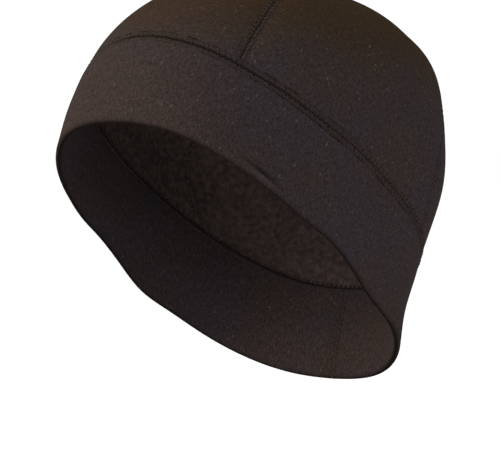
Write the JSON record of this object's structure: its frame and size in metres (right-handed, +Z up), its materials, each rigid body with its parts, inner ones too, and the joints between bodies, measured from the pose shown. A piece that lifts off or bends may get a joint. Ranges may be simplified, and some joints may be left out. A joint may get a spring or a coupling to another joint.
{
  "type": "skull cap",
  "caption": "Close-fitting stretch-fleece skull cap as worn: a wide doubled band that dips to the nape, under a crown of gores, open below for the head.",
  "frame": {"origin": "inside the crown, at the highest point of its inner face, where the top of the head bears", "axes": "+Z up as the cap is worn, -Y the way the wearer faces, +X towards the wearer's left"},
  "size_m": [0.17, 0.1906, 0.1977],
  "materials": {
    "band_fleece": "brushed matt stretch fleece, doubled",
    "crown_fleece": "brushed matt stretch fleece",
    "thread": "matt overlocked sewing thread"
  },
  "bodies": {
    "root": {"band": "band_fleece", "crown_panel_front": "crown_fleece", "crown_panel_left": "crown_fleece", "crown_panel_back": "crown_fleece", "crown_panel_right": "crown_fleece"}
  },
  "joints": []
}
